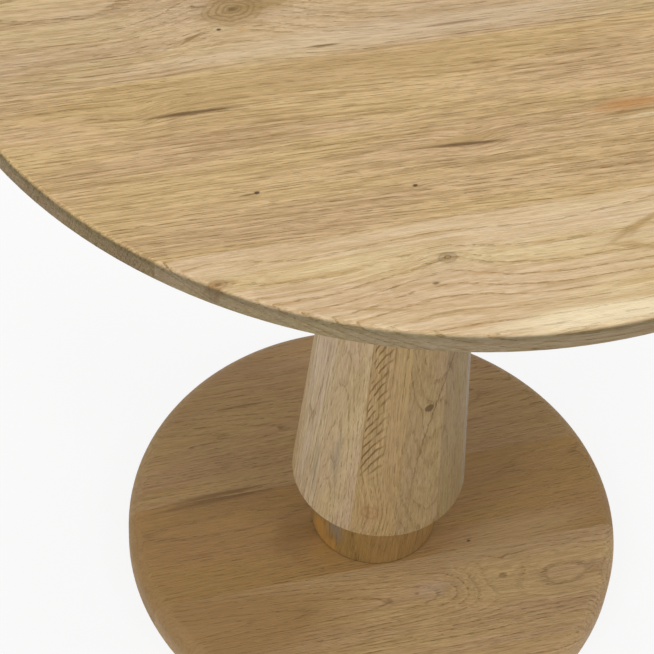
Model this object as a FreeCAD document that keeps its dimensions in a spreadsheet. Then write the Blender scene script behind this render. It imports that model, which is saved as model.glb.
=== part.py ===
import FreeCAD, Part
import Sketcher
import os

"""Round pedestal table in solid oak, 750 mm across and 750 mm high.

From the floor up: six felt pads, a disc base glued up from five boards, a short turned collar,
a hollow column of twelve wedge-shaped staves that tapers from a wide lower rim to a narrow head,
a steel plate, and a thin round top glued up from five boards. A tie rod through the middle clamps
base, collar and column between a nut in the underside of the base and the threaded boss of the
plate; the plate is screwed to the top. Millimetres; Z is up, the floor is Z = 0, the column
stands on the Z axis, and the boards of top and base run along X.
"""

Vector = FreeCAD.Vector
Z_AXIS = Vector(0, 0, 1)

doc = FreeCAD.newDocument("pedestal_table")
sheet = doc.addObject("Spreadsheet::Sheet", "Sizes")

SIZES = [
    # top
    ("table_height", 750), ("top_diameter", 750), ("top_thickness", 18),
    ("top_round", 3.5), ("top_under_chamfer", 2.5),
    # glue lines between the boards of the top, measured from the X axis
    ("top_seam_a", -267), ("top_seam_b", -107), ("top_seam_c", 80), ("top_seam_d", 267),
    # column of staves; stave_turn is where the first glue line stands round the axis
    ("column_rim_diameter", 160), ("column_head_diameter", 80), ("column_bore", 42),
    ("column_rim_round", 1.5), ("stave_angle", 30), ("stave_turn", -4.4),
    # collar between column and base
    ("collar_diameter", 118), ("collar_height", 74), ("collar_edge", 0.8),
    # base disc and its glue lines
    ("base_diameter", 464), ("base_thickness", 34), ("base_round", 15), ("base_under_chamfer", 2),
    ("base_seam_a", -168), ("base_seam_b", -60), ("base_seam_c", 48), ("base_seam_d", 152),
    # felt pads, let into the underside of the base
    ("pad_diameter", 30), ("pad_thickness", 4), ("pad_proud", 2), ("pad_inset", 32),
    # steel plate under the top, with its threaded boss
    ("plate_diameter", 260), ("plate_thickness", 5), ("plate_edge", 0.8),
    ("boss_diameter", 28), ("boss_length", 30),
    # wood screws that hold the plate to the top
    ("screw_inset", 15), ("screw_head", 9), ("screw_head_height", 3), ("screw_shank", 4.5),
    ("screw_length", 16), ("screw_tip", 3), ("tip_radius", 0.5), ("socket_diameter", 4), ("socket_depth", 1.5),
    # tie rod with its nut and washer
    ("rod_diameter", 12), ("rod_end_gap", 3), ("rod_proud", 1), ("rod_chamfer", 1),
    ("washer_diameter", 37), ("washer_thickness", 3), ("nut_across_flats", 18),
    ("nut_thickness", 10), ("recess_diameter", 44), ("recess_air", 4),
    # locating dowels
    ("dowel_diameter", 10), ("dowel_length", 36), ("dowel_end_gap", 1), ("dowel_inset", 19),
    ("dowel_chamfer", 1),
    # clearances: all round a thread, shank or dowel, and all round the rod in its bore
    ("snug", 0.3), ("loose", 1),
]

# Levels and distances that follow from the sizes above.
DERIVED = [
    ("top_radius", "top_diameter / 2"),
    ("rim_radius", "column_rim_diameter / 2"),
    ("head_radius", "column_head_diameter / 2"),
    ("bore_radius", "column_bore / 2"),
    ("collar_radius", "collar_diameter / 2"),
    ("base_radius", "base_diameter / 2"),
    ("plate_radius", "plate_diameter / 2"),
    ("boss_radius", "boss_diameter / 2"),
    ("rod_radius", "rod_diameter / 2"),
    ("thread_radius", "rod_radius + snug"),
    ("passage_radius", "rod_radius + loose"),
    ("recess_radius", "recess_diameter / 2"),
    ("washer_radius", "washer_diameter / 2"),
    ("dowel_radius", "dowel_diameter / 2"),
    ("head_round", "screw_head / 2"),
    ("shank_radius", "screw_shank / 2"),
    ("socket_radius", "socket_diameter / 2"),
    ("pad_radius", "pad_diameter / 2"),
    ("base_bottom", "pad_proud"),
    ("base_face", "base_bottom + base_thickness"),
    ("rim_level", "base_face + collar_height"),
    ("top_bottom", "table_height - top_thickness"),
    ("plate_bottom", "top_bottom - plate_thickness"),
    ("boss_bottom", "plate_bottom - boss_length"),
    ("recess_roof", "base_bottom + recess_air + nut_thickness + washer_thickness"),
    ("washer_bottom", "recess_roof - washer_thickness"),
    ("nut_bottom", "washer_bottom - nut_thickness"),
    ("rod_bottom", "nut_bottom - rod_proud"),
    ("rod_top", "plate_bottom - rod_end_gap"),
    ("screw_bottom", "plate_bottom - screw_head_height"),
    ("screw_top", "plate_bottom + screw_length"),
    ("screw_circle", "plate_radius - screw_inset"),
    ("pad_circle", "base_radius - pad_inset"),
    ("dowel_circle", "collar_radius - dowel_inset"),
    ("dowel_reach", "dowel_length / 2"),
    ("dowel_hole", "dowel_radius + snug"),
    ("dowel_hole_depth", "dowel_reach + dowel_end_gap"),
    ("dowel_turn", "stave_turn + stave_angle / 2"),
]

PADS = 6
SCREWS = 6
RING_START = "30"
DOWELS = 2
STAVES = 12

row = 0
for alias, value in SIZES:
    row += 1
    sheet.set("A%d" % row, alias)
    sheet.set("B%d" % row, str(value))
    sheet.setAlias("B%d" % row, alias)
for alias, formula in DERIVED:
    row += 1
    sheet.set("A%d" % row, alias)
    sheet.set("B%d" % row, "=" + formula)
    sheet.setAlias("B%d" % row, alias)
doc.recompute()

ALIASES = set(alias for alias, _ in SIZES + DERIVED)


def sized(formula):
    """A formula in the sheet's own names, written so that it reads the sheet."""
    return " ".join("Sizes." + word if word in ALIASES else word for word in formula.split())


def amount(formula):
    """The present value of such a formula."""
    return float(sheet.evalExpression(sized(formula)))


parts = []


def piece(shape_object, label):
    """Names a piece of the table; every piece is written to a file of its own."""
    shape_object.Label = label
    parts.append(shape_object)
    return shape_object


def origin_feature(body, role):
    return next(f for f in body.Origin.OriginFeatures if f.Role == role)


def outline(body, name, loops, foot="0"):
    """Closed outlines in the XZ plane, each corner (distance from a foot on the X axis, level)."""
    sketch = body.newObject("Sketcher::SketchObject", name)
    sketch.AttachmentSupport = [(origin_feature(body, "XZ_Plane"), "")]
    sketch.MapMode = "FlatFace"
    for corners in loops:
        first = sketch.GeometryCount
        spots = []
        for across, level in corners:
            spots.append(Vector(amount("%s + %s" % (foot, across)), amount(level), 0))
        for k, spot in enumerate(spots):
            sketch.addGeometry(Part.LineSegment(spot, spots[(k + 1) % len(spots)]), False)
        for k, (across, level) in enumerate(corners):
            after = (k + 1) % len(corners)
            sketch.addConstraint(
                Sketcher.Constraint("Coincident", first + k, 2, first + after, 1))
            number = sketch.addConstraint(
                Sketcher.Constraint("DistanceX", -1, 1, first + k, 1, spots[k].x))
            sketch.setExpression("Constraints[%d]" % number, sized("%s + %s" % (foot, across)))
            number = sketch.addConstraint(
                Sketcher.Constraint("DistanceY", -1, 1, first + k, 1, spots[k].y))
            sketch.setExpression("Constraints[%d]" % number, sized(level))
    return sketch


def turned(label, corners):
    """A body turned on the Z axis from its half outline."""
    body = doc.addObject("PartDesign::Body", label)
    sketch = outline(body, label + "_outline", [corners])
    feature = body.newObject("PartDesign::Revolution", label + "_turning")
    feature.Profile = sketch
    feature.ReferenceAxis = (sketch, ["V_Axis"])
    feature.Angle = 360
    doc.recompute()
    return body


def ring_of(label, loops, circle, count, start):
    """Identical turned pieces standing upright in a ring, all solids of one body."""
    body = doc.addObject("PartDesign::Body", label)
    body.AllowCompound = True
    sketch = outline(body, label + "_outline", loops, circle)
    foot = Vector(amount(circle), 0, 0)
    axis = sketch.addGeometry(Part.LineSegment(foot, foot + Vector(0, 10, 0)), True)
    sketch.addConstraint(Sketcher.Constraint("Vertical", axis))
    sketch.addConstraint(Sketcher.Constraint("DistanceY", -1, 1, axis, 1, 0))
    sketch.addConstraint(Sketcher.Constraint("DistanceY", axis, 1, axis, 2, 10))
    number = sketch.addConstraint(Sketcher.Constraint("DistanceX", -1, 1, axis, 1, foot.x))
    sketch.setExpression("Constraints[%d]" % number, sized(circle))
    feature = body.newObject("PartDesign::Revolution", label + "_turning")
    feature.Profile = sketch
    feature.ReferenceAxis = (sketch, ["Axis0"])
    feature.Angle = 360
    doc.recompute()
    pattern = body.newObject("PartDesign::PolarPattern", label + "_ring")
    pattern.Originals = [feature]
    pattern.Axis = (origin_feature(body, "Z_Axis"), [""])
    pattern.Angle = 360
    pattern.Occurrences = count
    body.Tip = pattern
    body.Placement = FreeCAD.Placement(Vector(), FreeCAD.Rotation(Z_AXIS, amount(start)))
    body.setExpression(".Placement.Rotation.Angle", sized(start))
    doc.recompute()
    return body


def dress(body, kind, size, radius, level):
    """Rounds or chamfers the full round edge of a body at that radius and level."""
    names = []
    for k, edge in enumerate(body.Tip.Shape.Edges):
        curve = edge.Curve
        if isinstance(curve, Part.Circle) and abs(curve.Radius - amount(radius)) < 1e-4:
            if abs(curve.Center.z - amount(level)) < 1e-4:
                names.append("Edge%d" % (k + 1))
    feature = body.newObject("PartDesign::" + kind, "%s_%s_%s" % (body.Name, kind, radius))
    feature.Base = (feature.BaseFeature, names)
    feature.setExpression("Radius" if kind == "Fillet" else "Size", sized(size))
    doc.recompute()


def drill(body, label, level, depth, circle, radius, count, start, upwards):
    """A ring of round blind holes, started at a level and drilled up or down."""
    before = body.Shape.Volume
    sketch = body.newObject("Sketcher::SketchObject", label + "_centre")
    sketch.AttachmentSupport = [(origin_feature(body, "XY_Plane"), "")]
    sketch.MapMode = "FlatFace"
    sketch.AttachmentOffset = FreeCAD.Placement(
        Vector(0, 0, amount(level)), FreeCAD.Rotation(Z_AXIS, amount(start)))
    sketch.setExpression("AttachmentOffset.Base.z", sized(level))
    sketch.setExpression("AttachmentOffset.Rotation.Angle", sized(start))
    sketch.addGeometry(Part.Circle(Vector(amount(circle), 0, 0), Z_AXIS, amount(radius)), False)
    sketch.addConstraint(Sketcher.Constraint("PointOnObject", 0, 3, -1))
    number = sketch.addConstraint(Sketcher.Constraint("DistanceX", -1, 1, 0, 3, amount(circle)))
    sketch.setExpression("Constraints[%d]" % number, sized(circle))
    number = sketch.addConstraint(Sketcher.Constraint("Radius", 0, amount(radius)))
    sketch.setExpression("Constraints[%d]" % number, sized(radius))
    pocket = body.newObject("PartDesign::Pocket", label + "_drilling")
    pocket.Profile = sketch
    pocket.Reversed = upwards
    pocket.setExpression("Length", sized(depth))
    doc.recompute()
    pattern = body.newObject("PartDesign::PolarPattern", label + "_ring")
    pattern.Originals = [pocket]
    pattern.Axis = (origin_feature(body, "Z_Axis"), [""])
    pattern.Angle = 360
    pattern.Occurrences = count
    body.Tip = pattern
    doc.recompute()
    hole = 3.1416 * amount(radius) ** 2 * amount(depth)
    if abs(before - body.Shape.Volume - count * hole) > 0.02 * count * hole:
        raise RuntimeError("%s removed %.0f of %.0f" % (label, before - body.Shape.Volume, count * hole))


def shared_out(blank, tool, label):
    """One board or stave: the part of a glued-up blank that lies inside its own cutting solid."""
    share = doc.addObject("Part::Common", label)
    share.Base = blank
    share.Tool = tool
    piece(share, label)


def boards(blank, label, seams, reach):
    """Divides a disc into its boards at the glue lines."""
    lines = ["0 - " + reach] + seams + [reach]
    for k in range(len(lines) - 1):
        slab = doc.addObject("Part::Box", "%s_%d_slab" % (label, k + 1))
        slab.setExpression("Length", sized("2 * " + reach))
        slab.setExpression("Width", sized("%s - ( %s )" % (lines[k + 1], lines[k])))
        slab.setExpression("Height", sized("table_height"))
        slab.setExpression(".Placement.Base.x", sized("0 - " + reach))
        slab.setExpression(".Placement.Base.y", sized(lines[k]))
        shared_out(blank, slab, "%s_%d" % (label, k + 1))


# Top: a disc of five boards, rounded above, chamfered below, with pilot holes for the screws.
top = turned("top_disc", [
    ("0", "top_bottom"), ("top_radius", "top_bottom"),
    ("top_radius", "table_height"), ("0", "table_height")])
dress(top, "Fillet", "top_round", "top_radius", "table_height")
dress(top, "Chamfer", "top_under_chamfer", "top_radius", "top_bottom")
drill(top, "pilot", "top_bottom", "screw_top - top_bottom + snug", "screw_circle",
      "shank_radius + snug", SCREWS, RING_START, True)
boards(top, "top_board", ["top_seam_a", "top_seam_b", "top_seam_c", "top_seam_d"], "top_diameter")

# Column: a hollow taper cut into staves by planes through its axis.
column = turned("column_taper", [
    ("bore_radius", "rim_level"), ("rim_radius", "rim_level"),
    ("head_radius", "plate_bottom"), ("bore_radius", "plate_bottom")])
dress(column, "Fillet", "column_rim_round", "rim_radius", "rim_level")
drill(column, "column_dowel_hole", "rim_level", "dowel_hole_depth", "dowel_circle",
      "dowel_hole", DOWELS, "dowel_turn", True)
for k in range(STAVES):
    wedge = doc.addObject("Part::Cylinder", "stave_%02d_wedge" % (k + 1))
    wedge.setExpression("Radius", sized("column_rim_diameter"))
    wedge.setExpression("Height", sized("table_height"))
    wedge.setExpression("Angle", sized("stave_angle"))
    turn = "stave_turn + stave_angle * %d" % k
    wedge.Placement = FreeCAD.Placement(Vector(), FreeCAD.Rotation(Z_AXIS, 1))
    wedge.setExpression(".Placement.Rotation.Angle", sized(turn))
    shared_out(column, wedge, "column_stave_%02d" % (k + 1))

# Collar: a turned ring with dowel holes in both faces.
collar = turned("collar", [
    ("passage_radius", "base_face"), ("collar_radius", "base_face"),
    ("collar_radius", "rim_level"), ("passage_radius", "rim_level")])
dress(collar, "Chamfer", "collar_edge", "collar_radius", "base_face")
drill(collar, "collar_upper_hole", "rim_level", "dowel_hole_depth", "dowel_circle",
      "dowel_hole", DOWELS, "dowel_turn", False)
drill(collar, "collar_lower_hole", "base_face", "dowel_hole_depth", "dowel_circle",
      "dowel_hole", DOWELS, "dowel_turn", True)
piece(collar, "collar")

# Base: a disc of five boards with a nut recess below, a rod bore, dowel holes and pad recesses.
base = turned("base_disc", [
    ("recess_radius", "base_bottom"), ("base_radius", "base_bottom"),
    ("base_radius", "base_face"), ("passage_radius", "base_face"),
    ("passage_radius", "recess_roof"), ("recess_radius", "recess_roof")])
dress(base, "Fillet", "base_round", "base_radius", "base_face")
dress(base, "Chamfer", "base_under_chamfer", "base_radius", "base_bottom")
drill(base, "base_dowel_hole", "base_face", "dowel_hole_depth", "dowel_circle",
      "dowel_hole", DOWELS, "dowel_turn", False)
drill(base, "pad_recess", "base_bottom", "pad_thickness - pad_proud", "pad_circle",
      "pad_radius + snug", PADS, RING_START, True)
boards(base, "base_board", ["base_seam_a", "base_seam_b", "base_seam_c", "base_seam_d"],
       "base_diameter")

# Felt pads under the base.
pads = ring_of("felt_pads", [[
    ("0", "0"), ("pad_radius", "0"), ("pad_radius", "pad_thickness"), ("0", "pad_thickness")]],
    "pad_circle", PADS, RING_START)
piece(pads, "felt_pads")

# Locating dowels: one ring between base and collar, one between collar and column.
rings = []
for level in ("base_face", "rim_level"):
    foot = level + " - dowel_reach"
    head = level + " + dowel_reach"
    rings.append([
        ("0", foot), ("dowel_radius - dowel_chamfer", foot),
        ("dowel_radius", foot + " + dowel_chamfer"), ("dowel_radius", head + " - dowel_chamfer"),
        ("dowel_radius - dowel_chamfer", head), ("0", head)])
dowels = ring_of("locating_dowels", rings, "dowel_circle", DOWELS, "dowel_turn")
piece(dowels, "locating_dowels")

# Steel plate with a boss that reaches down into the hollow of the column.
plate = turned("top_plate", [
    ("thread_radius", "boss_bottom"), ("boss_radius", "boss_bottom"),
    ("boss_radius", "plate_bottom"), ("plate_radius", "plate_bottom"),
    ("plate_radius", "top_bottom"), ("thread_radius", "top_bottom")])
dress(plate, "Chamfer", "plate_edge", "plate_radius", "plate_bottom")
drill(plate, "plate_hole", "plate_bottom", "plate_thickness", "screw_circle",
      "shank_radius + snug", SCREWS, RING_START, True)
piece(plate, "top_plate")

# Wood screws, heads under the plate.
screws = ring_of("top_screws", [[
    ("0", "screw_bottom + socket_depth"), ("socket_radius", "screw_bottom + socket_depth"),
    ("socket_radius", "screw_bottom"), ("head_round - 1", "screw_bottom"),
    ("head_round", "screw_bottom + 1"), ("head_round", "plate_bottom"),
    ("shank_radius", "plate_bottom"), ("shank_radius", "screw_top - screw_tip"),
    ("tip_radius", "screw_top"), ("0", "screw_top")]], "screw_circle", SCREWS, RING_START)
piece(screws, "top_screws")

# Tie rod, with chamfered ends.
rod = turned("tie_rod", [
    ("0", "rod_bottom"), ("rod_radius - rod_chamfer", "rod_bottom"),
    ("rod_radius", "rod_bottom + rod_chamfer"), ("rod_radius", "rod_top - rod_chamfer"),
    ("rod_radius - rod_chamfer", "rod_top"), ("0", "rod_top")])
piece(rod, "tie_rod")

# Washer and nut in the recess under the base.
washer = turned("tie_washer", [
    ("passage_radius", "washer_bottom"), ("washer_radius", "washer_bottom"),
    ("washer_radius", "recess_roof"), ("passage_radius", "recess_roof")])
piece(washer, "tie_washer")

hexagon = doc.addObject("Part::Prism", "nut_hexagon")
hexagon.Polygon = 6
hexagon.setExpression("Circumradius", sized("nut_across_flats / sqrt(3)"))
hexagon.setExpression("Height", sized("nut_thickness"))
hexagon.setExpression(".Placement.Base.z", sized("nut_bottom"))
thread = doc.addObject("Part::Cylinder", "nut_thread")
thread.setExpression("Radius", sized("thread_radius"))
thread.setExpression("Height", sized("nut_thickness"))
thread.setExpression(".Placement.Base.z", sized("nut_bottom"))
nut = doc.addObject("Part::Cut", "tie_nut")
nut.Base = hexagon
nut.Tool = thread
piece(nut, "tie_nut")

doc.recompute()
for item in doc.Objects:
    if "Invalid" in item.State or "Error" in item.State:
        raise RuntimeError("%s is in state %s" % (item.Label, item.State))
os.makedirs("parts", exist_ok=True)
for item in parts:
    if item.Shape.isNull() or not item.Shape.isValid():
        raise RuntimeError("%s has no valid shape" % item.Label)
for item in parts:
    item.Shape.exportStep("parts/%s.step" % item.Label)
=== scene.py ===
import math

import bpy
from mathutils import Matrix, Vector


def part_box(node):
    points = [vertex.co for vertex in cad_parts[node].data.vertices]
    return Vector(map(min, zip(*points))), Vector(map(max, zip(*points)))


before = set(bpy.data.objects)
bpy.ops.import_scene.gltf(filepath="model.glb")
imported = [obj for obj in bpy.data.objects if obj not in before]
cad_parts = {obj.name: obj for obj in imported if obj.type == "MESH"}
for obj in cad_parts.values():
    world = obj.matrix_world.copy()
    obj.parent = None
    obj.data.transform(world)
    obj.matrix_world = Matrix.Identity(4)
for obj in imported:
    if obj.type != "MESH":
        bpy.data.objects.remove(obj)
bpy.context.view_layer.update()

MM = 0.001              # one millimetre, in metres

# levels and radius of the CAD pieces
TOP_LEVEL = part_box("top_board_3")[1][2]
TOP_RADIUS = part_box("top_board_3")[1][0]
BASE_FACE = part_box("base_board_3")[1][2]

ARRIS = 3.5 * MM        # radius of the rounding on the upper edge of the top
STAVES = 12
STAVE_ANGLE = 360 / STAVES
FIRST_STAVE = -4.4      # where the first stave begins, in degrees round from +X
IN_DEGREES = 180 / math.pi

# places of the colour sockets on a Mix node, which also has hidden number and vector sockets
COLOR_A = 6
COLOR_B = 7
COLOR_RESULT = 2

ACROSS = (0, 1, 1)      # keeps only the two directions across the grain, which runs along X


# ------------------------------------------------------------------ writing node trees

class Tree:
    """Short ways to add nodes to a tree. An input may be a socket, a number, a tuple or None."""

    def __init__(self, tree):
        self.tree = tree

    def node(self, kind, **settings):
        """A new shader node with its settings."""
        made = self.tree.nodes.new("ShaderNode" + kind)
        for key, value in settings.items():
            setattr(made, key, value)
        return made

    def feed(self, socket, value):
        """Links a socket or sets a plain value. None leaves the input at its default."""
        if value is None:
            return
        if isinstance(value, bpy.types.NodeSocket):
            self.tree.links.new(value, socket)
            return
        if socket.type == "RGBA" and len(value) == 3:
            value = (*value, 1)
        socket.default_value = value

    def math(self, operation, a, b=None, clamp=False):
        """A number worked out from one or two others."""
        made = self.node("Math", operation=operation, use_clamp=clamp)
        self.feed(made.inputs[0], a)
        self.feed(made.inputs[1], b)
        return made.outputs[0]

    def plus(self, a, b, clamp=False):
        return self.math("ADD", a, b, clamp)

    def minus(self, a, b):
        return self.math("SUBTRACT", a, b)

    def times(self, a, b):
        return self.math("MULTIPLY", a, b)

    def vector(self, operation, a, b=None):
        """A vector worked out from one or two others, or the length of one."""
        made = self.node("VectorMath", operation=operation)
        self.feed(made.inputs[0], a)
        self.feed(made.inputs[1], b)
        return made.outputs["Value" if operation == "LENGTH" else "Vector"]

    def combine(self, x, y, z):
        """A vector from three numbers; None is nought."""
        made = self.node("CombineXYZ")
        for axis, value in zip("XYZ", (x, y, z)):
            self.feed(made.inputs[axis], value)
        return made.outputs[0]

    def noise(self, vector, stretch, detail, roughness):
        """The outputs of a noise whose place is first multiplied by stretch, so more is finer."""
        made = self.node("TexNoise")
        self.feed(made.inputs["Vector"], self.vector("MULTIPLY", vector, stretch))
        self.feed(made.inputs["Scale"], 1.0)
        self.feed(made.inputs["Detail"], detail)
        self.feed(made.inputs["Roughness"], roughness)
        return made.outputs

    def smooth(self, value, low, high, start=0.0, end=1.0):
        """Goes smoothly from start, where the value is low or less, to end, where it is high."""
        made = self.node("MapRange", interpolation_type="SMOOTHSTEP")
        for key, given in (("Value", value), ("From Min", low), ("From Max", high),
                           ("To Min", start), ("To Max", end)):
            self.feed(made.inputs[key], given)
        return made.outputs["Result"]

    def mix(self, factor, a, b, blend="MIX"):
        """Colour a turned into colour b by the factor."""
        made = self.node("Mix", data_type="RGBA", blend_type=blend)
        self.feed(made.inputs["Factor"], factor)
        self.feed(made.inputs[COLOR_A], a)
        self.feed(made.inputs[COLOR_B], b)
        return made.outputs[COLOR_RESULT]

    def tint(self, color, by):
        """A colour multiplied by another."""
        return self.mix(1.0, color, by, "MULTIPLY")

    def ramp(self, value, stops):
        """A curve of levels through the stops, each a place and a level."""
        made = self.node("ValToRGB")
        made.color_ramp.interpolation = "EASE"
        while len(made.color_ramp.elements) < len(stops):
            made.color_ramp.elements.new(0.5)
        for element, (place, level) in zip(made.color_ramp.elements, stops):
            element.position = place
            element.color = (level, level, level, 1)
        self.feed(made.inputs[0], value)
        return made.outputs["Color"]

    def group(self, kind, **values):
        """The outputs of one of the shared groups, placed with its own values."""
        made = self.node("Group", node_tree=GROUPS[kind])
        for key, value in values.items():
            self.feed(made.inputs[key], value)
        return made.outputs


GROUPS = {}


def new_group(name, inputs, outputs):
    """An empty shader group with named inputs (name, type, default) and outputs (name, type)."""
    tree = bpy.data.node_groups.new(name, "ShaderNodeTree")
    for label, kind, value in inputs:
        socket = tree.interface.new_socket(label, in_out="INPUT", socket_type="NodeSocket" + kind)
        if value is not None:
            socket.default_value = value
    for label, kind in outputs:
        tree.interface.new_socket(label, in_out="OUTPUT", socket_type="NodeSocket" + kind)
    GROUPS[name] = tree
    given = tree.nodes.new("NodeGroupInput").outputs
    out = tree.nodes.new("NodeGroupOutput").inputs
    return Tree(tree), given, out


# ------------------------------------------------------------------ shared effects

def shift_across(t, place, stretch, detail, amount):
    """A shift across the grain: a noise centred on zero, times amount."""
    shift = t.vector("SUBTRACT", t.noise(place, stretch, detail, 0.5)["Color"], (0.5, 0.5, 0.5))
    scaled = t.node("VectorMath", operation="SCALE")
    t.feed(scaled.inputs[0], t.vector("MULTIPLY", shift, ACROSS))
    t.feed(scaled.inputs["Scale"], amount)
    return scaled.outputs[0]


def bend_grain(t, place, wander, rustle, bend):
    """Bends straight grain; gives the bent place and the distance from the pith, the local X axis.

    A slow and a quick noise shift the place across the grain. It is then pushed away from the
    pith by bend, so rings and fibres run round a knot together.
    """
    nearly_nothing = 0.001
    slow = shift_across(t, place, (1.6, 7, 7), 1.5, wander)
    quick = shift_across(t, place, (18, 95, 95), 3, rustle)
    place = t.vector("ADD", t.vector("ADD", place, slow), quick)
    radius = t.vector("LENGTH", t.vector("MULTIPLY", place, ACROSS))
    swollen = t.plus(radius, bend)
    swell = t.math("DIVIDE", swollen, t.math("MAXIMUM", radius, nearly_nothing))
    return t.vector("MULTIPLY", place, t.combine(1.0, swell, swell)), swollen


def make_rings():
    """Growth rings: the distance from the pith over the spacing, made uneven by a slow noise.

    The fraction of that count runs from the porous early wood to the dense late wood, and each
    whole number is one year with its own strength.
    """
    pace = 0.31
    unevenness = 2.4
    faintest = 0.25
    early_wood = [(0, 0.1), (0.06, 1), (0.15, 0.8), (0.30, 0.22), (0.6, 0.08), (0.97, 0.0)]
    t, given, out = new_group(
        "growth rings", [("Across", "Float", 0.0), ("Spacing", "Float", 0.003)], [("Early", "Float")])
    count = t.math("DIVIDE", given["Across"], given["Spacing"])
    uneven = t.node("TexNoise", noise_dimensions="1D")
    t.feed(uneven.inputs["W"], t.times(count, pace))
    t.feed(uneven.inputs["Scale"], 1.0)
    t.feed(uneven.inputs["Detail"], 2.0)
    count = t.plus(count, t.times(uneven.outputs[0], unevenness))
    early = t.ramp(t.math("FRACT", count), early_wood)
    year = t.node("TexWhiteNoise", noise_dimensions="1D")
    t.feed(year.inputs["W"], t.math("FLOOR", count))
    strength = t.plus(t.times(year.outputs["Value"], 1 - faintest), faintest)
    t.feed(out["Early"], t.times(early, strength))


# each layer of fibre: how often it repeats along and across the grain in a metre, its detail and
# roughness, and the two levels between which it is stretched from 0 to 1
FIBRE_LAYERS = {
    "Cloud": ((3.2, 16, 16), 3, 0.50, 0.32, 0.68),
    "Warmth": ((5, 34, 34), 3, 0.50, 0.35, 0.65),
    "Streak": ((6, 150, 150), 4, 0.62, 0.34, 0.66),
    "Line": ((14, 400, 400), 3, 0.55, 0.40, 0.60),
    "Fine": ((50, 850, 850), 2, 0.60, 0.36, 0.64),
    "Dash": ((30, 600, 600), 2, 0.60, 0.56, 0.64),
    "Pore": ((90, 1200, 1200), 2, 0.50, 0.54, 0.63),
}


def make_fibres():
    """Clouds, streaks, lines, dashes and pores: noises drawn out along the grain."""
    t, given, out = new_group(
        "fibres", [("Vector", "Vector", None)], [(layer, "Float") for layer in FIBRE_LAYERS])
    for layer, (stretch, detail, roughness, low, high) in FIBRE_LAYERS.items():
        value = t.noise(given["Vector"], stretch, detail, roughness)[0]
        t.feed(out[layer], t.smooth(value, low, high))


def make_spot():
    """A soft-edged ellipsoid: 1 inside its core, 0 past its reach, its edge roughened by noise.

    The distance is that from the centre, each axis divided by its reach, so it is 1 on the edge.
    """
    t, given, out = new_group(
        "spot",
        [("Vector", "Vector", None), ("Centre", "Vector", None), ("Reach", "Vector", (1, 1, 1)),
         ("Turn", "Float", 0.0), ("Ragged", "Float", 0.3), ("Core", "Float", 0.3)],
        [("Mask", "Float"), ("Distance", "Float")])
    turned = t.node("VectorRotate", rotation_type="Z_AXIS")
    t.feed(turned.inputs["Vector"], t.vector("SUBTRACT", given["Vector"], given["Centre"]))
    t.feed(turned.inputs["Angle"], t.times(given["Turn"], -1.0))
    place = t.vector("DIVIDE", turned.outputs[0], given["Reach"])
    rough = t.minus(t.noise(place, (1.3, 1.3, 1.3), 4, 0.6)[0], 0.5)
    rough = t.times(t.times(rough, given["Ragged"]), 2.0)
    distance = t.plus(t.vector("LENGTH", place), rough)
    t.feed(out["Mask"], t.smooth(distance, given["Core"], 1.0, 1.0, 0.0))
    t.feed(out["Distance"], distance)


def centred(t, value, share):
    """A layer shifted to run either side of zero, times its share of the tone."""
    return t.times(t.minus(value, 0.5), share)


# what each layer adds to the tone, from 0, light, to 1, dark
GRAIN_SHARES = {"Streak": 0.17, "Line": 0.46, "Fine": 0.40}
CLOUD_SHARE = 0.30
MIDDLE_TONE = 0.26
# how the wood leans between golden and rosy, and how its pores darken it
GOLDEN = (1.03, 1.01, 0.88)
ROSY = (1.03, 0.985, 0.99)
PORE_TINT = (0.60, 0.56, 0.42)
PORE_STRENGTH = 0.55
# how deep pores, early wood and fibre lines lie in the relief, from 0 to 1
PORE_DEPTH = 0.8
EARLY_DEPTH = 0.3
LINE_DEPTH = 0.35
# how much rougher than the rest pores and streaks are
PORE_ROUGH = 0.18
STREAK_ROUGH = 0.08


def make_oak():
    """Oak: ring lines, tone by clouds, streaks and lines, dark pores crowded in the early wood."""
    t, given, out = new_group(
        "oak",
        [("Vector", "Vector", None), ("Spacing", "Float", 0.003), ("Wander", "Float", 0.02),
         ("Rustle", "Float", 0.001), ("Bend", "Float", 0.0), ("Figure", "Float", 0.5),
         ("Grain", "Float", 0.5), ("Dashes", "Float", 0.7), ("Light", "Color", None),
         ("Dark", "Color", None)],
        [("Color", "Color"), ("Height", "Float"), ("Rough", "Float")])
    place, across = bend_grain(t, given["Vector"], given["Wander"], given["Rustle"], given["Bend"])
    early = t.group("growth rings", Across=across, Spacing=given["Spacing"])["Early"]
    fibres = t.group("fibres", Vector=place)

    grain = 0.0
    for layer, share in GRAIN_SHARES.items():
        grain = t.plus(centred(t, fibres[layer], share), grain)
    tone = t.times(grain, given["Grain"])
    tone = t.plus(tone, centred(t, fibres["Cloud"], CLOUD_SHARE))
    tone = t.plus(tone, t.times(early, given["Figure"]))
    tone = t.plus(tone, MIDDLE_TONE, clamp=True)
    color = t.mix(tone, given["Light"], given["Dark"])
    color = t.mix(fibres["Warmth"], t.tint(color, GOLDEN), t.tint(color, ROSY))

    pores = t.times(fibres["Pore"], t.smooth(early, 0.0, 0.6, 0.25, 1.0))
    pores = t.math("MAXIMUM", pores, t.times(fibres["Dash"], given["Dashes"]))
    color = t.mix(t.times(pores, PORE_STRENGTH), color, t.tint(given["Dark"], PORE_TINT))
    t.feed(out["Color"], color)

    height = t.times(pores, -PORE_DEPTH)
    height = t.plus(height, t.times(early, -EARLY_DEPTH))
    height = t.plus(height, t.times(fibres["Line"], -LINE_DEPTH))
    height = t.plus(height, t.times(fibres["Fine"], -LINE_DEPTH))
    t.feed(out["Height"], height)
    rough = t.plus(t.times(pores, PORE_ROUGH), t.times(fibres["Streak"], STREAK_ROUGH))
    t.feed(out["Rough"], rough)


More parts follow.
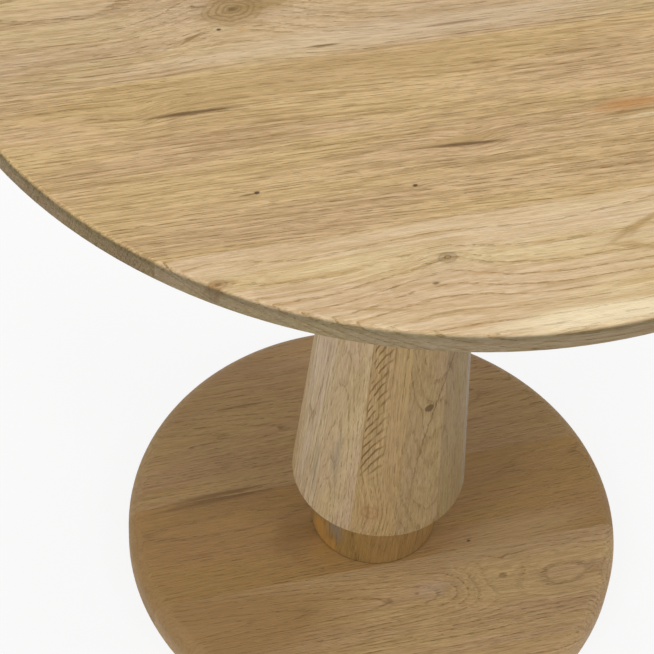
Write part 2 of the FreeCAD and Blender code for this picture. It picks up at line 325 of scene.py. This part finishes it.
def direction_round(t, place):
    """The direction round the column's axis in degrees, and the height."""
    parts = t.node("SeparateXYZ")
    t.feed(parts.inputs[0], place)
    direction = t.math("ARCTAN2", parts.outputs["Y"], parts.outputs["X"])
    return t.times(direction, IN_DEGREES), parts.outputs["Z"]


def make_flame():
    """Dark licks that climb one stave from its left edge and flatten out as they rise.

    Their phase is the height times their number in a metre, less a parabola of the direction
    round the axis, so they rise steeply at the stave's edge and fade away from it.
    """
    edge = -123.5
    in_a_metre = 82.0
    rise = 0.27
    flattening = 0.0050
    waver = 1.9
    t, given, out = new_group("flame", [("Vector", "Vector", None)], [("Mask", "Float")])
    direction, height = direction_round(t, given["Vector"])
    inward = t.minus(direction, edge)
    climb = t.times(inward, t.minus(rise, t.times(inward, flattening)))
    wave = t.noise(given["Vector"], (40, 40, 26), 3, 0.55)[0]
    phase = t.minus(t.times(height, in_a_metre), climb)
    phase = t.plus(phase, t.times(wave, waver))
    lines = t.smooth(t.math("SINE", t.times(phase, 2 * math.pi)), 0.30, 0.95)
    broken = t.noise(given["Vector"], (120, 120, 70), 2, 0.5)[0]
    lines = t.times(lines, t.smooth(broken, 0.34, 0.56, 0.15, 1.0))
    inside = t.times(t.smooth(inward, 0.0, 1.2), t.smooth(inward, 9.0, 19.0, 1.0, 0.0))
    inside = t.times(inside, t.smooth(height, 0.175, 0.215))
    t.feed(out["Mask"], t.times(lines, inside))


def make_crack():
    """A fine crack that climbs the column, leans more the higher it gets and fades at its foot.

    Its direction round the axis, in degrees, is a parabola of the height above its foot.
    """
    foot = 0.148
    foot_direction = -87.0
    lean = 874.0
    shake = 4.5
    t, given, out = new_group("column crack", [("Vector", "Vector", None)], [("Mask", "Float")])
    direction, height = direction_round(t, given["Vector"])
    climb = t.math("ABSOLUTE", t.minus(height, foot))
    path = t.plus(t.times(t.math("POWER", climb, 2.0), lean), foot_direction)
    wobble = t.noise(given["Vector"], (0, 0, 120), 2, 0.5)[0]
    path = t.plus(path, t.times(t.minus(wobble, 0.5), shake))
    off = t.math("ABSOLUTE", t.minus(direction, path))
    line = t.smooth(off, 0.25, 0.95, 1.0, 0.0)
    dotted = t.noise(given["Vector"], (0, 0, 330), 1, 0.5)[0]
    line = t.times(line, t.smooth(dotted, 0.38, 0.55, 0.45, 1.0))
    t.feed(out["Mask"], t.times(line, t.smooth(height, 0.14, 0.30, 0.25, 1.0)))


make_rings()
make_fibres()
make_spot()
make_oak()
make_flame()
make_crack()


# ------------------------------------------------------------------ one piece of oak

# colours of knots, stains and checks; some of them also serve as painted light and shade, as marked
# below
# the dark of knot hearts, also used for the painted shadow at the collar's foot
HEART_AND_SHADOW = (0.060, 0.028, 0.009)
BARK = (0.110, 0.055, 0.016)
UMBER = (0.170, 0.092, 0.026)
STAIN = (0.190, 0.105, 0.038)
LICK = (0.255, 0.145, 0.042)
TOFFEE = (0.300, 0.180, 0.055)
GREY = (0.30, 0.245, 0.18)
RUST = (0.42, 0.190, 0.065)
OCHRE = (0.42, 0.265, 0.095)
# the painted light on the collar's lit left side
PAINTED_ORANGE_LIGHT = (0.60, 0.31, 0.075)
# pale sapwood, which also serves as a painted highlight along the front edge of the top
SAP_AND_HIGHLIGHT = (0.92, 0.76, 0.49)

# the finish of all the oak: roughness, gloss, the strength and depth of its relief, how deep the
# licks lie in it, and how dark the crack is
OAK_ROUGH = 0.5
OAK_GLOSS = 0.35
OAK_RELIEF = 0.8
OAK_DEPTH = 0.6 * MM
LICK_DEPTH = 0.8
CRACK_STRENGTH = 0.75

# tints of the sawn edge, of its shadow under the arris, and of the arris where it catches light
EDGE_TINT = (0.47, 0.485, 0.46)
SHADOW_TINT = (0.74, 0.78, 0.72)
ARRIS_TINT = (1.12, 1.12, 1.08)


def mark(at, reach, color, strength=0.8, turn=0.0, ragged=0.3, core=0.2):
    """A stain or patch in the wood, or a patch of painted light or shade: centre and half sizes in
    millimetres, turned by degrees.
    """
    return {"at": at, "reach": reach, "color": color, "strength": strength, "turn": turn,
            "ragged": ragged, "core": core}


def check(at, half, color=UMBER, strength=0.9, turn=0.0, width=2.2):
    """A drying check: a thin dark slit along the grain, half millimetres long either way."""
    return mark(at, (half, width, 4), color, strength, turn, 0.35, 0.25)


def knot(at, size, bend, strength=0.9, depth=40, pull=0.42, rings=17.0, color=UMBER, heart=HEART_AND_SHADOW,
         solid=0.22):
    """A knot: a ringed patch of size millimetres that pushes the rings aside by bend.

    The push fades with the distance from the knot, the slower the smaller pull is. Its dark heart
    fills solid of its size.
    """
    return {"at": at, "size": size, "bend": bend, "strength": strength, "depth": depth,
            "pull": pull, "rings": rings, "color": color, "heart": heart, "solid": solid}


def in_metres(values):
    """Millimetres in metres, one by one."""
    return [value * MM for value in values]


def new_material(name):
    """A new material, its tree and its shader."""
    material = bpy.data.materials.new(name)
    material.use_nodes = True
    return material, Tree(material.node_tree), material.node_tree.nodes["Principled BSDF"]


def add_bump(t, shader, height, strength, depth):
    """Relief in a shader from a height between 0 and 1, at most depth metres deep."""
    bump = t.node("Bump")
    bump.inputs["Strength"].default_value = strength
    bump.inputs["Distance"].default_value = depth
    t.feed(bump.inputs["Height"], height)
    t.feed(shader.inputs["Normal"], bump.outputs[0])


def bend_at_knots(t, place, knots):
    """How far the knots push the grain aside, and each knot with the distance from it.

    A knot's push is its bend times e to the power of minus the square of distance times pull.
    """
    bend = 0.0
    distances = []
    for k in knots:
        reach = in_metres((k["size"] * 1.5, k["size"], k["depth"]))
        spot = t.group("spot", Vector=place, Centre=in_metres(k["at"]), Reach=reach, Ragged=0.25,
                       Core=0.0)
        near = t.math("POWER", t.times(spot["Distance"], k["pull"]), 2.0)
        push = t.math("EXPONENT", t.times(near, -1.0))
        bend = t.plus(t.times(push, k["bend"] * MM), bend)
        distances.append((k, spot["Distance"]))
    return bend, distances


def paint_knots(t, color, distances):
    """Concentric rings round each knot, then its dark heart."""
    blur = 0.12
    for k, distance in distances:
        rings = t.smooth(t.math("SINE", t.times(distance, k["rings"])), -0.2, 0.9, 0.40, 1.0)
        patch = t.times(t.smooth(distance, 0.45, 1.1, k["strength"], 0.0), rings)
        color = t.mix(patch, color, k["color"])
        core = t.smooth(distance, k["solid"] - blur, k["solid"] + blur, k["strength"], 0.0)
        color = t.mix(core, color, k["heart"])
    return color


def paint_marks(t, place, color, marks):
    """Each stain, patch and check, and each patch of painted light and shade, laid over the wood in
    turn.
    """
    for m in marks:
        spot = t.group("spot", Vector=place, Centre=in_metres(m["at"]), Reach=in_metres(m["reach"]),
                       Turn=math.radians(m["turn"]), Ragged=m["ragged"], Core=m["core"])
        color = t.mix(t.times(spot["Mask"], m["strength"]), color, m["color"])
    return color


def shade_edge(t, place, color, amount):
    """The sawn edge is greyer and darker than the face; a painted shadow darkens it just under the
    arris, and a painted highlight lightens the arris.

    How far round the arris a place lies is the sine of its angle about the rounding's centre, so
    it is 1 on the face and 0 on the edge.
    """
    nearly_nothing = 0.00001
    parts = t.node("SeparateXYZ")
    t.feed(parts.inputs[0], place)
    height = parts.outputs["Z"]
    sideways = t.combine(parts.outputs["X"], parts.outputs["Y"], None)
    outward = t.minus(t.vector("LENGTH", sideways), TOP_RADIUS - ARRIS)
    upward = t.math("MAXIMUM", t.minus(height, TOP_LEVEL - ARRIS), 0.0)
    reach = t.plus(t.math("POWER", t.math("MAXIMUM", outward, nearly_nothing), 2.0),
                   t.math("POWER", upward, 2.0))
    upright = t.math("DIVIDE", upward, t.math("SQRT", reach))
    rim = t.smooth(outward, -0.5 * MM, 0.5 * MM)
    side = t.times(t.smooth(upright, 0.30, 0.80, amount, 0.0), rim)
    color = t.mix(side, color, t.tint(color, EDGE_TINT))
    # painted shadow just under the arris
    under = t.times(side, t.smooth(height, TOP_LEVEL - 8.5 * MM, TOP_LEVEL - 3.5 * MM))
    color = t.mix(under, color, t.tint(color, SHADOW_TINT))
    # painted highlight along the arris
    arris = t.times(t.smooth(upright, 0.72, 0.88), t.smooth(upright, 0.96, 0.998, 1.0, 0.0))
    arris = t.times(t.times(arris, rim), amount * 0.8)
    return t.mix(arris, color, t.tint(color, ARRIS_TINT))


def oak(name, pith, turn, light, dark, spacing=3.0, wander=20.0, figure=0.5, grain=1.0, rustle=1.4,
        dashes=0.7, knots=(), marks=(), edge=0.0, flame=False, split=False):
    """Solid oak whose rings run round the line through pith that is turned by degrees.

    Lengths are in millimetres: the ring spacing, and how far the grain wanders slowly and rustles
    quickly. Figure, grain and dashes are the strengths of rings, fibres and dark pores; edge is
    that of the darker sawn edge. Flame adds the dark licks, and split the crack.
    """
    material, t, shader = new_material(name)
    place = t.node("TexCoord").outputs["Object"]
    local = t.node("Mapping", vector_type="TEXTURE")
    t.feed(local.inputs["Vector"], place)
    local.inputs["Location"].default_value = in_metres(pith)
    local.inputs["Rotation"].default_value = [math.radians(angle) for angle in turn]
    bend, distances = bend_at_knots(t, place, knots)
    wood = t.group("oak", Vector=local.outputs[0], Spacing=spacing * MM, Wander=wander * MM,
                   Rustle=rustle * MM, Bend=bend, Figure=figure, Grain=grain, Dashes=dashes,
                   Light=light, Dark=dark)
    color = paint_marks(t, place, wood["Color"], marks)
    height = wood["Height"]
    if flame:
        licks = t.group("flame", Vector=place)["Mask"]
        color = t.mix(licks, color, LICK)
        height = t.minus(height, t.times(licks, LICK_DEPTH))
    if split:
        gap = t.group("column crack", Vector=place)["Mask"]
        color = t.mix(t.times(gap, CRACK_STRENGTH), color, UMBER)
        height = t.minus(height, gap)
    color = paint_knots(t, color, distances)
    if edge:
        color = shade_edge(t, place, color, edge)
    t.feed(shader.inputs["Base Color"], color)
    t.feed(shader.inputs["Roughness"], t.plus(wood["Rough"], OAK_ROUGH))
    shader.inputs["Specular IOR Level"].default_value = OAK_GLOSS
    add_bump(t, shader, height, OAK_RELIEF, OAK_DEPTH)
    return material


def wear(node, material):
    """Gives a CAD node a material in place of its plain one."""
    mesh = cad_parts[node].data
    mesh.materials.clear()
    mesh.materials.append(material)


# ------------------------------------------------------------------ the top

# light and dark tones of the boards and staves
LIGHT = (0.650, 0.485, 0.290)
HONEY = (0.665, 0.475, 0.255)
CREAM = (0.755, 0.592, 0.380)
BLUSH = (0.740, 0.570, 0.375)
AMBER = (0.500, 0.330, 0.135)
TAN = (0.430, 0.275, 0.120)
DARK = (0.350, 0.220, 0.085)


def top_board_1(z):
    """The front board: a small ringed knot, a forked streak and a bright strip along its front edge,
    pale sapwood with a painted highlight.
    """
    knots = [knot((-83, -300, z), 4.8, 4.0, 1.0, 60, rings=9.0, color=BARK, heart=OCHRE),
             knot((-229, -293, z - 4), 8, 5.0, 0.30, 30),
             knot((-92, -318, z), 26, 7.0, 0.0, 80, pull=0.8)]
    marks = [mark((-96, -319, z), (3.6, 2.0, 4), HEART_AND_SHADOW, 0.9),
             mark((-105, -318, z), (24, 1.8, 4), OCHRE, 0.65),
             mark((-94, -303, z), (10, 1.1, 3), UMBER, 0.6, 12, 1.4),
             mark((-88, -310, z), (30, 9, 6), (0.60, 0.430, 0.245), 0.45, 10, 0.6),
             mark((-135, -333, z), (34, 2.2, 5), OCHRE, 0.6, -14, 0.5),
             mark((-20, -336, z), (44, 1.8, 5), OCHRE, 0.55, 2, 0.5),
             mark((43, -299, z), (34, 4.4, 6), OCHRE, 0.80, 24, 1.0, 0.3),
             mark((42, -316, z), (30, 4.0, 6), OCHRE, 0.70, -18, 1.0, 0.3),
             mark((30, -307, z), (40, 9, 6), (0.56, 0.390, 0.200), 0.40, 4, 0.6),
             mark((-229, -293, z - 4), (11, 8, 8), RUST, 0.60),
             # a bright strip along the front edge: pale sapwood with a painted highlight where the
             # edge catches the light
             mark((0, -362, z), (105, 9, 5), SAP_AND_HIGHLIGHT, 0.85, 0.0, 0.3, 0.3),
             mark((14, -368, z), (95, 7, 5), SAP_AND_HIGHLIGHT, 0.75, 1.5, 0.3, 0.4)]
    return oak("oak_top_1", (0, -250, z - 110), (0, 0.4, 0.6), CREAM, (0.49, 0.315, 0.128),
               spacing=4.6, wander=24, figure=0.66, grain=0.66, rustle=0.7, dashes=0.30,
               knots=knots, marks=marks, edge=0.8)


def top_board_2(z):
    """The wide golden board, with two long checks, two pin knots and an orange streak."""
    knots = [knot((-86, -236, z), 1.7, 1.5, 0.9, solid=0.6),
             knot((-187.5, -222, z), 1.8, 1.5, 0.9, solid=0.6),
             knot((-38, -205, z), 5, 6, 0.0),
             knot((-252, -140, z), 6, 6, 0.0)]
    marks = [mark((-120, -124, z), (270, 19, 8), AMBER, 0.50, 0.6, 0.4, 0.3),
             mark((-214, -137, z), (52, 8, 6), AMBER, 0.65),
             check((-214, -143.2, z), 48, UMBER, 1.0, -0.6, 2.8),
             check((-266, -140.5, z), 30, TOFFEE, 0.6, -4, 1.6),
             check((-193, -222.6, z), 9, UMBER, 0.8, 1, 1.3),
             mark((-42, -202, z), (48, 6, 6), AMBER, 0.65),
             check((-44, -206.5, z), 40, UMBER, 1.0, -4, 2.4),
             check((-30, -224, z), 60, TOFFEE, 0.55, -2, 1.6),
             mark((76, -192, z), (38, 8, 6), (0.52, 0.265, 0.090), 0.95, 1, 0.6),
             check((76, -199, z), 34, TOFFEE, 0.8, 1, 1.8),
             mark((96, -204, z), (50, 2.5, 5), SAP_AND_HIGHLIGHT, 0.45, 1, 0.4)]
    return oak("oak_top_2", (0, -420, z - 70), (0, 0.7, -0.8), HONEY, DARK,
               spacing=2.3, wander=34, figure=0.34, grain=0.95, rustle=1.3, dashes=0.40,
               knots=knots, marks=marks, edge=0.9)


def top_board_3(z):
    """The board at the centre, with a large brown knot, a slit and a pale strip at its front."""
    knots = [knot((-165, -51, z), 18, 17, 0.85, 60, rings=34.0, color=TOFFEE, heart=UMBER,
                  solid=0.12),
             knot((-178, -68.5, z), 1.6, 1, 0.9, solid=0.6),
             knot((-191, -42, z), 1.6, 1, 0.7)]
    marks = [mark((-60, -92, z), (230, 14, 8), BLUSH, 0.45, 0.5, 0.4, 0.3),
             mark((-144, -50, z), (34, 10, 10), (0.40, 0.255, 0.095), 0.80, 2, 0.7, 0.3),
             mark((-165, -51, z), (26, 17, 10), (0.44, 0.290, 0.120), 0.50, 0, 0.6, 0.5),
             check((-198, -73.5, z), 15, TOFFEE, 0.9, 27, 2.0),
             check((-328, -108, z), 10, HEART_AND_SHADOW, 0.9, 0, 1.8),
             check((-112, -97.5, z), 18, UMBER, 0.9, -2, 1.6),
             mark((-162, -71, z), (5, 2.8, 4), (0.62, 0.34, 0.12), 0.6),
             check((-17, -93, z), 32, UMBER, 0.6, 0, 2.0)]
    return oak("oak_top_3", (-60, -35, z - 46), (0, -1.4, -1.5), LIGHT, DARK,
               spacing=3.0, wander=36, figure=0.45, grain=0.80, rustle=1.0, dashes=0.35,
               knots=knots, marks=marks, edge=0.9)


def top_board_4(z):
    """The board behind the centre, golden, with one toffee knot."""
    return oak("oak_top_4", (40, 190, z - 60), (0, 1.2, 0.6), HONEY, TAN,
               spacing=2.4, wander=30, figure=0.40, edge=0.9,
               knots=[knot((180, 150, z), 9, 11, 0.5, 60, color=TOFFEE)])


def top_board_5(z):
    """The rear board, plain and pale."""
    return oak("oak_top_5", (-30, 330, z - 38), (0, -2.0, -0.8), CREAM, TAN,
               spacing=3.2, wander=32, figure=0.42, dashes=0.4, edge=0.9)


def dress_top():
    """Five boards along X, each from its own log."""
    for board in (top_board_1, top_board_2, top_board_3, top_board_4, top_board_5):
        wear(board.__name__, board(TOP_LEVEL / MM))


# ------------------------------------------------------------------ the column

def away(direction):
    """The unit vector that points away from the column's axis in that direction, in degrees."""
    return Vector((math.cos(math.radians(direction)), math.sin(math.radians(direction)), 0))


def on_column(direction, distance, height):
    """The place in millimetres that far from the column's axis in that direction, at a height."""
    return (*(away(direction) * distance).xy, height)


# light and dark tones of the staves at the front, each stave's own tone darkened by painted shade
# from stave 7 at the left to staves 11 and 12 at the right; the others share one pair
STAVE_TONES = {7: ((0.76, 0.61, 0.42), TAN),
               8: ((0.71, 0.545, 0.345), (0.47, 0.32, 0.165)),
               9: ((0.61, 0.430, 0.225), DARK),
               10: ((0.525, 0.380, 0.212), DARK),
               11: ((0.415, 0.302, 0.155), (0.30, 0.19, 0.078)),
               12: ((0.42, 0.335, 0.220), (0.27, 0.215, 0.16))}
OTHER_TONES = ((0.66, 0.490, 0.285), TAN)
STAVE_MARKS = {7: [mark(on_column(-158, 78, 175), (7, 7, 55), GREY, 0.4, 0, 0.7)],
               8: [mark(on_column(-141, 76, 205), (7, 7, 60), GREY, 0.45, 0, 0.7)]}
STAVE_KNOTS = {9: [knot(on_column(-113, 79, 143), 11, 7, 0.42, 15, rings=15.0, color=RUST,
                        heart=OCHRE, solid=0.0)],
               10: [knot(on_column(-77.5, 69, 278), 3.6, 1.5, 0.9, 5.4, heart=UMBER, solid=0.8)]}
CURLY_STAVES = (9, 10)
FLAMED_STAVES = (9,)
CRACKED_STAVES = (10, 11)

# where each stave's pith lies from the middle of its wall, outwards and sideways, in millimetres,
# and how it leans, in degrees; the staves go round these in turn, sideways at a step of its own
SIDEWAYS_STEP = 5
MID_WALL = 52
OUTWARD = (-30, 10, 34, 6, -22, 28)
SIDEWAYS = (14, -22, 6, 30, -10, -3)
LEAN = (3.0, -2.2, 1.2, -4.0, 2.4, 0.8)


def dress_column():
    """Twelve staves with upright grain; each stave's pith lies behind or in front of its face."""
    for k in range(1, STAVES + 1):
        middle = FIRST_STAVE + STAVE_ANGLE * (k - 0.5)
        out = away(middle)
        side = Vector((-out.y, out.x, 0))
        outward = OUTWARD[k % len(OUTWARD)]
        sideways = SIDEWAYS[k * SIDEWAYS_STEP % len(SIDEWAYS)]
        lean = LEAN[k % len(LEAN)]
        pith = out * (MID_WALL + outward) + side * sideways
        light, dark = STAVE_TONES.get(k, OTHER_TONES)
        wear("column_stave_%02d" % k, oak(
            "oak_stave_%02d" % k, tuple(pith), (lean, -90 + lean, middle), light, dark,
            spacing=3.4, wander=16, figure=0.36, grain=0.65, dashes=0.5,
            rustle=2.4 if k in CURLY_STAVES else 1.4,
            knots=STAVE_KNOTS.get(k, ()), marks=STAVE_MARKS.get(k, ()),
            flame=k in FLAMED_STAVES, split=k in CRACKED_STAVES))


# ------------------------------------------------------------------ the base and the collar

BASE_WARM = (0.470, 0.288, 0.112)
BASE_FAIR = (0.720, 0.505, 0.270)
BASE_DEEP = (0.350, 0.210, 0.085)


def base_board_1(z):
    """The front board of the base, light brown."""
    return oak("oak_base_1", (20, -215, z - 40), (0, 1.4, 1.0), (0.76, 0.53, 0.265),
               (0.44, 0.285, 0.125),
               spacing=3.4, wander=30, figure=0.36, grain=0.55, dashes=0.2)


def base_board_2(z):
    """The fair board in front of the collar, with a pale swirl, and browner at its left."""
    knots = [knot((96, -100, z), 10, 14, 0.0, 60),
             knot((16, -98, z), 1.8, 1, 0.9, color=RUST, heart=RUST)]
    marks = [mark((-180, -100, z), (180, 66, 40), (0.41, 0.237, 0.086), 0.80, 0, 0.3, 0.4),
             mark((30, -96, z), (24, 12, 6), (0.66, 0.49, 0.33), 0.5, 0, 0.6),
             mark((60, -60, z), (210, 30, 8), (0.52, 0.345, 0.165), 0.8, 0, 0.5)]
    return oak("oak_base_2", (70, -98, z - 30), (0, 2.8, -1.0), BASE_FAIR, BASE_DEEP,
               spacing=3.8, wander=34, figure=0.36, grain=0.55, dashes=0.2,
               knots=knots, marks=marks)


def base_board_3(z):
    """The warm board under the collar, with painted shade and a painted orange reflection beside the
    collar's foot on its left.
    """
    marks = [mark((-145, 45, z), (80, 5.0, 6), STAIN, 0.80, 2, 0.6),
             mark((-150, 34, z), (70, 15, 6), (0.37, 0.220, 0.082), 0.6, 3, 0.6),
             # painted shade on the base at the collar's left
             mark((-76, -12, z), (38, 30, 8), (0.30, 0.165, 0.050), 0.65, 0, 0.7),
             # painted reflection: orange light from the collar's lit side on the base at its foot
             mark((-52, -32, z), (26, 22, 8), (0.47, 0.265, 0.075), 0.65, 0, 0.6),
             mark((125, -52, z), (110, 30, 8), (0.54, 0.355, 0.165), 0.7, 4, 0.6),
             mark((80, -51, z), (2.8, 1.8, 4), HEART_AND_SHADOW, 0.9)]
    return oak("oak_base_3", (-40, 20, z - 60), (0, -1.0, 1.5), BASE_WARM, BASE_DEEP,
               spacing=2.8, wander=30, figure=0.32, grain=0.6, dashes=0.25, marks=marks)


def base_board_4(z):
    """The board behind the collar, with two dark streaks."""
    marks = [mark((-140, 51, z), (72, 4.2, 6), STAIN, 0.75, 2, 0.6),
             mark((-90, 151, z), (34, 2.6, 6), STAIN, 0.6, 0, 0.6)]
    return oak("oak_base_4", (30, 120, z - 34), (0, 2.4, 0.4), (0.53, 0.355, 0.178), BASE_DEEP,
               spacing=3.2, wander=34, figure=0.34, grain=0.6, dashes=0.25, marks=marks)


def base_board_5(z):
    """The rear board of the base."""
    return oak("oak_base_5", (-20, 230, z - 60), (0, -1.0, 0.4), (0.52, 0.345, 0.178), BASE_DEEP,
               spacing=3.2, wander=30, figure=0.34, grain=0.6, dashes=0.25)


def dress_base():
    """Five boards along X, browner than the top."""
    for board in (base_board_1, base_board_2, base_board_3, base_board_4, base_board_5):
        wear(board.__name__, board(BASE_FACE / MM))


def dress_collar():
    """The collar: brown oak with a grey wedge, painted light in orange on its lit left side, and a
    painted shadow in a dark line at its foot.
    """
    # painted light: orange patches on the collar's lit left side
    marks = [mark((-57, -16, 50), (9, 16, 20), PAINTED_ORANGE_LIGHT, 0.85, 0, 0.5, 0.4),
             mark((-50, -31, 42), (12, 9, 12), PAINTED_ORANGE_LIGHT, 0.7, 0, 0.5, 0.4),
             mark((-48, -35, 74), (11, 11, 26), GREY, 0.8, 0, 0.8),
             # painted shadow: a thin dark band all round the collar's foot, where it meets the base
             mark((0, 0, BASE_FACE / MM), (400, 400, 1.8), HEART_AND_SHADOW, 0.75, 0, 0.1, 0.5)]
    wear("collar", oak("oak_collar_wood", (10, 36, 70), (2.0, -88, 20), (0.43, 0.265, 0.098),
                       (0.30, 0.18, 0.070),
                       spacing=2.6, wander=14, figure=0.5, grain=0.9, dashes=0.5, marks=marks))


# ------------------------------------------------------------------ hidden fittings

def plain(name, color, metallic, rough, grain, depth):
    """A metal, beech or felt finish: tone and roughness from a fine noise and a broad one.

    The fine noise repeats grain times in a metre along each axis and also makes the relief, which
    is depth millimetres deep.
    """
    darkest = 0.72
    lightest = 1.22
    material, t, shader = new_material(name)
    place = t.node("TexCoord").outputs["Object"]
    fine = t.noise(place, grain, 4, 0.6)[0]
    broad = t.noise(place, (30, 30, 30), 2, 0.5)[0]
    both = t.plus(t.times(fine, 0.6), t.times(broad, 0.4))
    low = tuple(level * darkest for level in color)
    high = tuple(min(level * lightest, 1) for level in color)
    t.feed(shader.inputs["Base Color"], t.mix(t.smooth(both, 0.3, 0.7), low, high))
    t.feed(shader.inputs["Roughness"], t.smooth(both, 0.2, 0.8, rough - 0.08, rough + 0.1))
    shader.inputs["Metallic"].default_value = metallic
    add_bump(t, shader, fine, 0.4, depth * MM)
    return material


def dress_fittings():
    """Zinc on the rod, nut, washer and screws; black plate; beech dowels; felt pads."""
    zinc = plain("zinc_plate", (0.60, 0.59, 0.55), 1.0, 0.34, (400, 400, 400), 0.1)
    for node in ("tie_rod", "tie_washer", "tie_nut", "top_screws"):
        wear(node, zinc)
    coat = plain("black_powder_coat", (0.035, 0.035, 0.035), 0.0, 0.55, (900, 900, 900), 0.2)
    wear("top_plate", coat)
    wear("locating_dowels", plain("beech", (0.66, 0.50, 0.32), 0.0, 0.55, (1500, 1500, 60), 0.1))
    wear("felt_pads", plain("pressed_felt", (0.17, 0.135, 0.10), 0.0, 0.9, (1500, 1500, 1500), 0.5))


# ------------------------------------------------------------------ floor, light and camera

# the light on the table meets a pale floor; seen directly, the floor is a faint grey that takes
# the shadow, under a glow that is nearly white
FLOOR_HALF = 12.0
FLOOR_PALE = 0.8
FLOOR_FAINT = 0.12
FLOOR_GLOW = 0.875
WORLD_STRENGTH = 0.36
WORLD_SEEN = 0.94

# each softbox: name, place and aim, size across, power in watts
SOFTBOXES = (("softbox_left", (-2.8, -1.7, 2.9), (0, 0, 0.4), 2.0, 42),
             ("softbox_above", (0.1, 0.2, 3.4), (0, 0, 0.5), 1.8, 30),
             ("softbox_right", (1.7, -2.3, 2.1), (0.1, -0.1, 0.2), 1.2, 19))

CAMERA_PLACE = (-0.4497, -1.1964, 1.8204)
CAMERA_LOOK = (0.19895, 0.61241, -0.76510)     # the way it faces
CAMERA_ROLL = 0.082     # radians
CAMERA_LENS = 126.46    # millimetres, on a sensor 36 wide


def neutral(level):
    """A grey of that level, fully opaque."""
    return (level, level, level, 1)


def seen_directly(t):
    """1 for rays from the camera, from gloss and through glass, which see the backdrop as white."""
    path = t.node("LightPath").outputs
    seen = t.plus(path["Is Camera Ray"], path["Is Glossy Ray"], clamp=True)
    return t.plus(seen, path["Is Transmission Ray"], clamp=True)


def choose_by_ray(t, lit, seen, output):
    """One shader for the light that falls on things, and another for what is seen directly."""
    pick = t.node("MixShader")
    t.feed(pick.inputs[0], seen_directly(t))
    t.feed(pick.inputs[1], lit.outputs[0])
    t.feed(pick.inputs[2], seen.outputs[0])
    t.feed(output.inputs["Surface"], pick.outputs[0])


def lay_floor():
    """A wide pale floor that looks white but still takes the table's shadow."""
    half = FLOOR_HALF
    mesh = bpy.data.meshes.new("floor")
    corners = [(-half, -half, 0), (half, -half, 0), (half, half, 0), (-half, half, 0)]
    mesh.from_pydata(corners, [], [(0, 1, 2, 3)])
    floor = bpy.data.objects.new("floor", mesh)
    bpy.context.collection.objects.link(floor)
    material, t, shader = new_material("pale_floor")
    t.tree.nodes.remove(shader)
    pale = t.node("BsdfDiffuse")
    pale.inputs["Color"].default_value = neutral(FLOOR_PALE)
    faint = t.node("BsdfDiffuse")
    faint.inputs["Color"].default_value = neutral(FLOOR_FAINT)
    glow = t.node("Emission")
    glow.inputs["Color"].default_value = neutral(1)
    glow.inputs["Strength"].default_value = FLOOR_GLOW
    both = t.node("AddShader")
    t.feed(both.inputs[0], faint.outputs[0])
    t.feed(both.inputs[1], glow.outputs[0])
    choose_by_ray(t, pale, both, t.tree.nodes["Material Output"])
    mesh.materials.append(material)


def light_world():
    """An even white light from all round, which is nearly white where it is seen directly."""
    world = bpy.data.worlds.new("studio")
    bpy.context.scene.world = world
    world.use_nodes = True
    t = Tree(world.node_tree)
    ambient = t.tree.nodes["Background"]
    ambient.inputs["Color"].default_value = neutral(1)
    ambient.inputs["Strength"].default_value = WORLD_STRENGTH
    white = t.node("Background")
    white.inputs["Color"].default_value = neutral(WORLD_SEEN)
    choose_by_ray(t, ambient, white, t.tree.nodes["World Output"])


def hang_softbox(name, place, aim, size, power):
    """A round area lamp at a place, turned to its aim."""
    lamp = bpy.data.lights.new(name, "AREA")
    lamp.shape = "DISK"
    lamp.size = size
    lamp.energy = power
    holder = bpy.data.objects.new(name, lamp)
    bpy.context.collection.objects.link(holder)
    holder.location = place
    holder.rotation_euler = (Vector(aim) - Vector(place)).to_track_quat("-Z", "Y").to_euler()


def set_camera():
    """The camera stands above and in front, looks down by 50 degrees, and leans a little."""
    data = bpy.data.cameras.new("camera")
    data.sensor_width = 36
    data.lens = CAMERA_LENS
    camera = bpy.data.objects.new("camera", data)
    bpy.context.collection.objects.link(camera)
    forward = Vector(CAMERA_LOOK).normalized()
    level = forward.cross(Vector((0, 0, 1))).normalized()
    upright = level.cross(forward)
    right = level * math.cos(CAMERA_ROLL) + upright * math.sin(CAMERA_ROLL)
    up = upright * math.cos(CAMERA_ROLL) - level * math.sin(CAMERA_ROLL)
    turn = Matrix((right, up, -forward)).transposed().to_4x4()
    camera.matrix_world = Matrix.Translation(CAMERA_PLACE) @ turn
    bpy.context.scene.camera = camera


dress_top()
dress_column()
dress_base()
dress_collar()
dress_fittings()
lay_floor()
light_world()
for softbox in SOFTBOXES:
    hang_softbox(*softbox)
set_camera()
bpy.context.scene.view_settings.view_transform = "Standard"
